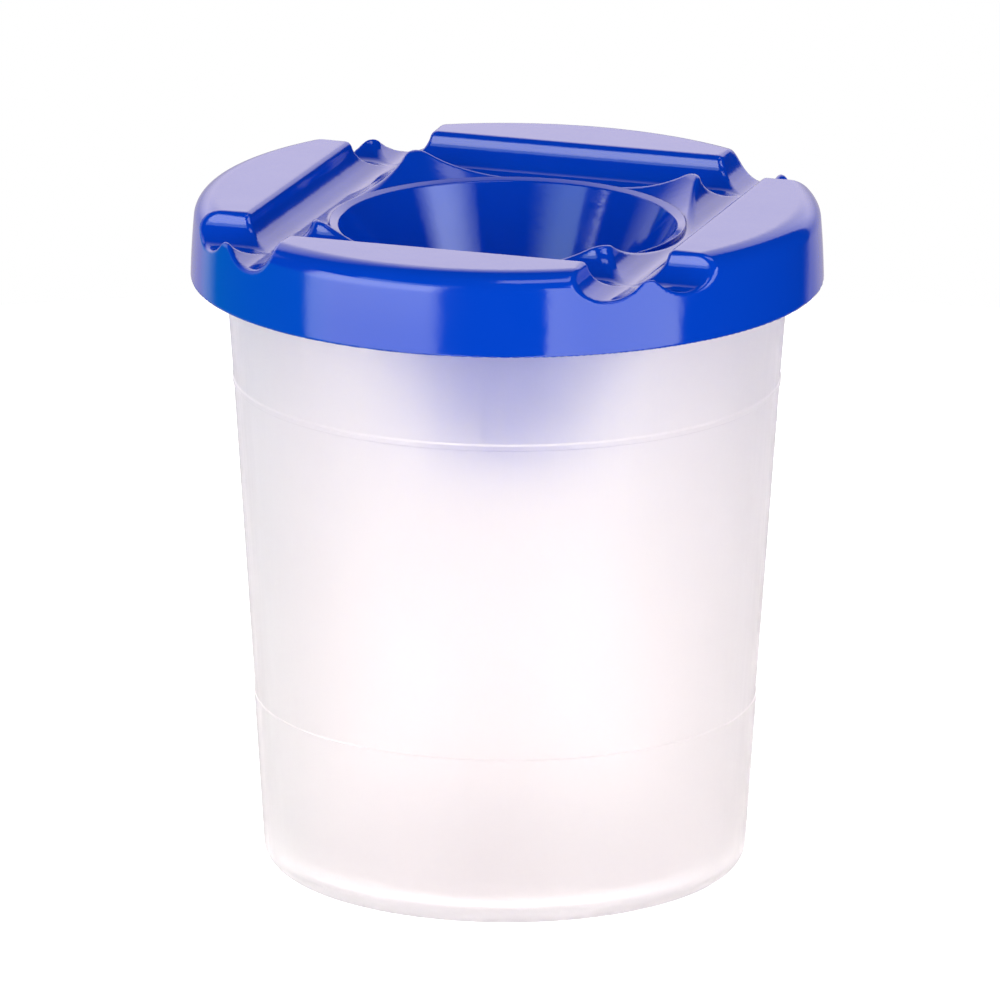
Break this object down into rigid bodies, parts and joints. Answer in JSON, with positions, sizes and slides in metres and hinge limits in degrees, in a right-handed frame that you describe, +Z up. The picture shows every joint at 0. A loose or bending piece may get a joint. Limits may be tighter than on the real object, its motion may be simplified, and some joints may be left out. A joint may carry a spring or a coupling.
{
  "type": "brush washer",
  "caption": "Round tapered beaker with a push-on non-spill lid, which has a funnel in its middle and crossed grooves to rest paint brushes in.",
  "frame": {"origin": "centre of the beaker's foot, on the surface it stands on", "axes": "+Z up, through the middle of the beaker, lid and funnel; +X and +Y along the two pairs of brush grooves in the lid"},
  "size_m": [0.08, 0.08, 0.0871],
  "materials": {
    "cup_plastic": "natural translucent polypropylene, frosted, satin",
    "lid_plastic": "royal blue injection-moulded polypropylene, glossy"
  },
  "bodies": {
    "cup": {"cup": "cup_plastic"},
    "lid": {"lid": "lid_plastic"}
  },
  "joints": [
    {"name": "lid_lift", "type": "slide", "parent": "cup", "child": "lid", "axis": [0, 0, 1], "range_m": [0, 0.0323]}
  ]
}
